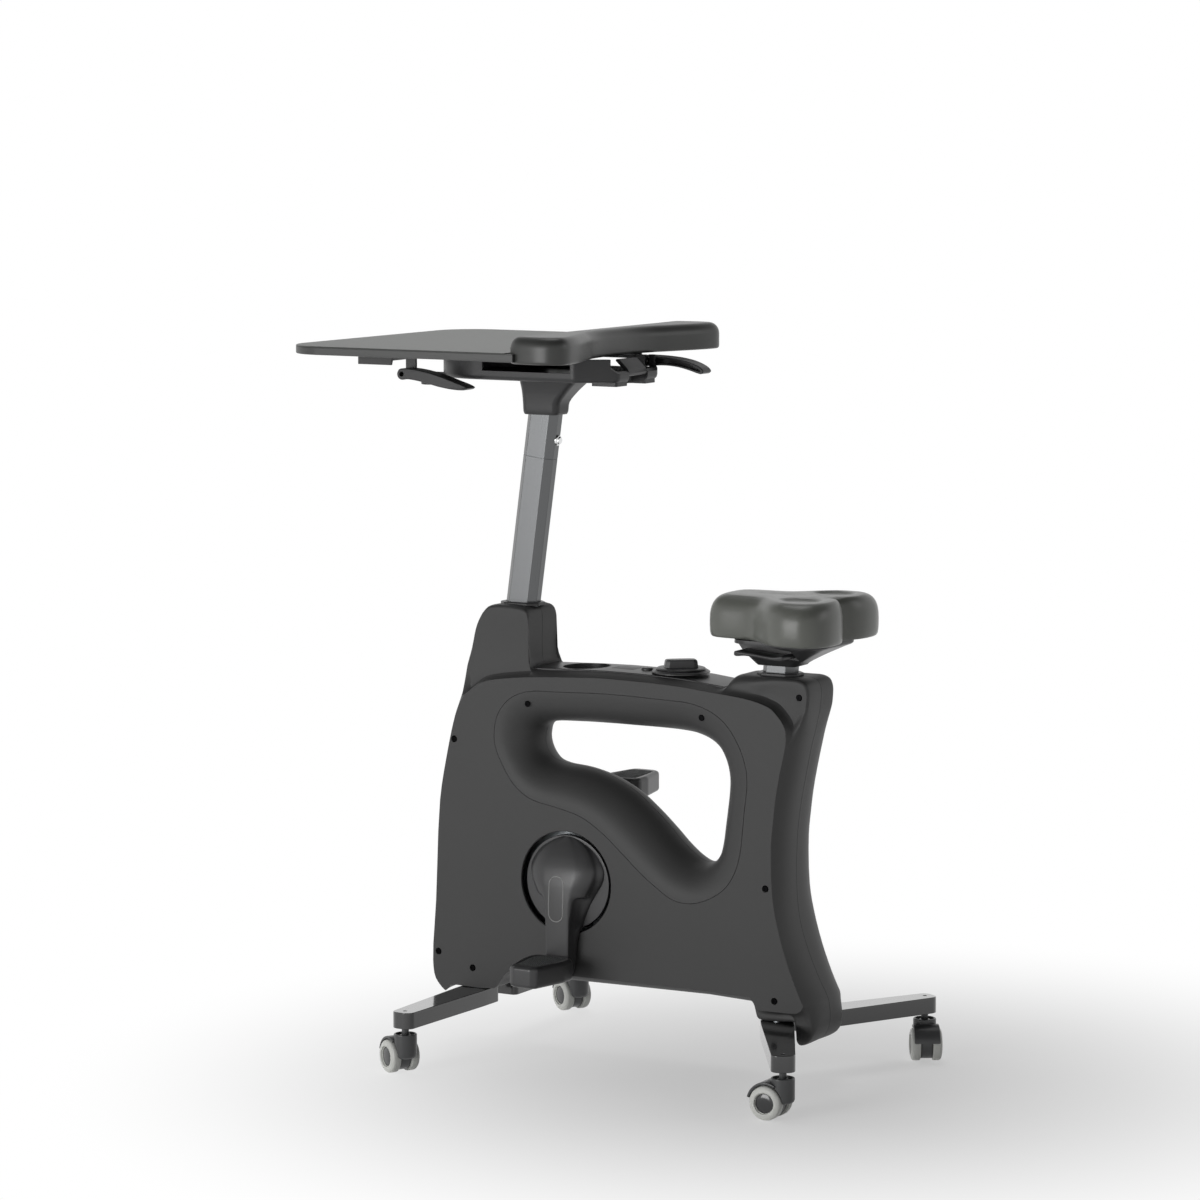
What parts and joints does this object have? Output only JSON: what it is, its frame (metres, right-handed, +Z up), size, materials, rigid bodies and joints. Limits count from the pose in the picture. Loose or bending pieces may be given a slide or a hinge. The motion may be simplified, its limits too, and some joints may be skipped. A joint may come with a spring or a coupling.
{
  "type": "desk exercise bike",
  "caption": "Exercise bike with a height-adjustable desk, sprung saddle post, enclosed belt drive to a magnet-braked flywheel, and folding castor legs.",
  "frame": {"origin": "bottom centre of the bounding box, on the floor between the castors", "axes": "+Z up, +X towards the saddle, -X towards the desk, -Y is the rider's left"},
  "size_m": [0.8924, 0.5788, 1.117],
  "materials": {
    "shell": "moulded ABS, fine matt grain",
    "console": "moulded ABS, satin",
    "steel": "zinc-plated steel",
    "collar": "glass-filled nylon, satin",
    "bearing": "polished",
    "pulley": "glass-filled nylon",
    "belt": "neoprene",
    "flywheel": "turned and oiled",
    "crank": "moulded nylon, satin",
    "leg": "gloss black powder coat",
    "fork": "moulded nylon",
    "wheel": "pale polyurethane tread",
    "alloy": "satin anodised",
    "board": "dark grey laminate on fibreboard",
    "pad": "soft polyurethane skin",
    "saddle": "dark grey upholstery"
  },
  "bodies": {
    "base": {"left_shell": "shell", "right_shell": "shell", "left_opening_trim": "shell", "right_opening_trim": "shell", "console_tray": "console", "knob_base": "console", "left_frame_plate": "steel", "right_frame_plate": "steel", "column_sleeve": "steel", "saddle_sleeve": "steel", "column_collar": "collar", "saddle_collar": "collar", "front_beam": "steel", "rear_beam": "steel", "left_bearing": "bearing", "right_bearing": "bearing", "flywheel_axle": "steel", "drive_belt": "belt", "tension_cable": "belt", "saddle_spring_cylinder": "leg", "desk_spring_rod": "bearing"},
    "crankset": {"crank_axle": "steel", "left_crank": "crank", "right_crank": "crank", "drive_pulley": "pulley", "left_pedal_spindle": "steel", "right_pedal_spindle": "steel"},
    "flywheel_body": {"flywheel": "flywheel"},
    "left_pedal_body": {"left_pedal": "crank"},
    "right_pedal_body": {"right_pedal": "crank"},
    "dial": {"resistance_knob": "console"},
    "magnets": {"magnet_bracket": "steel"},
    "button": {"console_button": "console"},
    "column_body": {"column": "alloy", "desk_spring_cylinder": "leg", "column_head": "collar", "desk_carriage": "collar"},
    "desk_body": {"desk_rail": "steel", "desktop": "board", "wrist_pad": "pad"},
    "left_desk_lever_body": {"left_desk_lever": "collar"},
    "right_desk_lever_body": {"right_desk_lever": "collar"},
    "paddle_body": {"desk_paddle": "collar"},
    "saddle_body": {"saddle_post": "alloy", "saddle_spring_rod": "bearing", "saddle_bracket": "collar", "saddle_cushion": "saddle"},
    "saddle_lever_body": {"saddle_lever": "collar"},
    "front_left_leg_body": {"front_left_leg": "leg"},
    "front_left_castor": {"front_left_castor_fork": "fork"},
    "front_left_wheel_pair": {"front_left_wheels": "wheel"},
    "front_right_leg_body": {"front_right_leg": "leg"},
    "front_right_castor": {"front_right_castor_fork": "fork"},
    "front_right_wheel_pair": {"front_right_wheels": "wheel"},
    "rear_left_leg_body": {"rear_left_leg": "leg"},
    "rear_left_castor": {"rear_left_castor_fork": "fork"},
    "rear_left_wheel_pair": {"rear_left_wheels": "wheel"},
    "rear_right_leg_body": {"rear_right_leg": "leg"},
    "rear_right_castor": {"rear_right_castor_fork": "fork"},
    "rear_right_wheel_pair": {"rear_right_wheels": "wheel"}
  },
  "joints": [
    {"name": "crank_spin", "type": "hinge", "parent": "base", "child": "crankset", "pos_m": [-0.06119, -0.00985, 0.276], "axis": [0, 1, 0], "continuous": true},
    {"name": "flywheel_spin", "type": "hinge", "parent": "base", "child": "flywheel_body", "pos_m": [-0.1892, -0.00985, 0.262], "axis": [0, 1, 0], "continuous": true},
    {"name": "left_pedal_spin", "type": "hinge", "parent": "crankset", "child": "left_pedal_body", "pos_m": [-0.06119, -0.00985, 0.152], "axis": [0, 1, 0], "continuous": true},
    {"name": "right_pedal_spin", "type": "hinge", "parent": "crankset", "child": "right_pedal_body", "pos_m": [-0.06119, -0.00985, 0.4], "axis": [0, 1, 0], "continuous": true},
    {"name": "dial_turn", "type": "hinge", "parent": "base", "child": "dial", "pos_m": [0.1048, -0.00985, 0], "axis": [0, 0, 1], "range_deg": [0, 240]},
    {"name": "magnet_lift", "type": "hinge", "parent": "base", "child": "magnets", "pos_m": [-0.12319, -0.00985, 0.356], "axis": [0, 1, 0], "range_deg": [0, 4]},
    {"name": "button_press", "type": "slide", "parent": "base", "child": "button", "axis": [0, 0, -1], "range_m": [0, 0.0015], "stiffness_N_per_m": 700, "springref_m": -0.001},
    {"name": "desk_height", "type": "slide", "parent": "base", "child": "column_body", "axis": [0.1357, 0, 0.9907], "range_m": [-0.077, 0.105]},
    {"name": "desk_reach", "type": "slide", "parent": "column_body", "child": "desk_body", "axis": [1, 0, 0], "range_m": [-0.05, 0.07]},
    {"name": "left_desk_lever_pull", "type": "hinge", "parent": "desk_body", "child": "left_desk_lever_body", "pos_m": [-0.31119, -0.12285, 1.046], "axis": [0, 1, 0], "range_deg": [-8, 0], "stiffness_Nm_per_rad": 3, "springref_deg": 4.58},
    {"name": "right_desk_lever_pull", "type": "hinge", "parent": "column_body", "child": "right_desk_lever_body", "pos_m": [-0.00319, 0.07615, 1.064], "axis": [0, 1, 0], "range_deg": [-5, 0], "stiffness_Nm_per_rad": 3, "springref_deg": 4.58},
    {"name": "paddle_pull", "type": "hinge", "parent": "column_body", "child": "paddle_body", "pos_m": [0.00281, -0.00985, 1.05], "axis": [0, 1, 0], "range_deg": [0, 10], "stiffness_Nm_per_rad": 2, "springref_deg": -4.58},
    {"name": "saddle_height", "type": "slide", "parent": "base", "child": "saddle_body", "axis": [0.0854, 0, 0.9963], "range_m": [0, 0.2]},
    {"name": "saddle_lever_pull", "type": "hinge", "parent": "saddle_body", "child": "saddle_lever_body", "pos_m": [0.3108, -0.00985, 0.646], "axis": [0, 1, 0], "range_deg": [0, 6], "stiffness_Nm_per_rad": 3, "springref_deg": -4.58},
    {"name": "front_left_leg_fold", "type": "hinge", "parent": "base", "child": "front_left_leg_body", "pos_m": [-0.2262, -0.05785, 0], "axis": [0, 0, 1], "range_deg": [0, 90]},
    {"name": "front_left_swivel", "type": "hinge", "parent": "front_left_leg_body", "child": "front_left_castor", "pos_m": [-0.2262, -0.26785, 0], "axis": [0, 0, 1], "continuous": true},
    {"name": "front_left_roll", "type": "hinge", "parent": "front_left_castor", "child": "front_left_wheel_pair", "pos_m": [-0.24265, -0.25835, 0.025], "axis": [-0.5, -0.866, 0], "continuous": true},
    {"name": "front_right_leg_fold", "type": "hinge", "parent": "base", "child": "front_right_leg_body", "pos_m": [-0.2262, 0.03815, 0], "axis": [0, 0, 1], "range_deg": [-90, 0]},
    {"name": "front_right_swivel", "type": "hinge", "parent": "front_right_leg_body", "child": "front_right_castor", "pos_m": [-0.2262, 0.24815, 0], "axis": [0, 0, 1], "continuous": true},
    {"name": "front_right_roll", "type": "hinge", "parent": "front_right_castor", "child": "front_right_wheel_pair", "pos_m": [-0.24281, 0.25736, 0.025], "axis": [-0.4848, -0.8746, 0], "continuous": true},
    {"name": "rear_left_leg_fold", "type": "hinge", "parent": "base", "child": "rear_left_leg_body", "pos_m": [0.29245, -0.05185, 0], "axis": [0, 0, 1], "range_deg": [-120, 0]},
    {"name": "rear_left_swivel", "type": "hinge", "parent": "rear_left_leg_body", "child": "rear_left_castor", "pos_m": [0.40331, -0.24385, 0], "axis": [0, 0, 1], "continuous": true},
    {"name": "rear_left_roll", "type": "hinge", "parent": "rear_left_castor", "child": "rear_left_wheel_pair", "pos_m": [0.38431, -0.24405, 0.025], "axis": [0.0105, -0.9999, 0], "continuous": true},
    {"name": "rear_right_leg_fold", "type": "hinge", "parent": "base", "child": "rear_right_leg_body", "pos_m": [0.29245, 0.03215, 0], "axis": [0, 0, 1], "range_deg": [0, 120]},
    {"name": "rear_right_swivel", "type": "hinge", "parent": "rear_right_leg_body", "child": "rear_right_castor", "pos_m": [0.40331, 0.22415, 0], "axis": [0, 0, 1], "continuous": true},
    {"name": "rear_right_roll", "type": "hinge", "parent": "rear_right_castor", "child": "rear_right_wheel_pair", "pos_m": [0.41337, 0.20804, 0.025], "axis": [0.848, 0.5299, 0], "continuous": true}
  ],
  "couplings": [
    {"joint": "crank_spin", "follows": "flywheel_spin", "ratio": 0.2},
    {"joint": "magnet_lift", "follows": "dial_turn", "ratio": 0.016667}
  ]
}
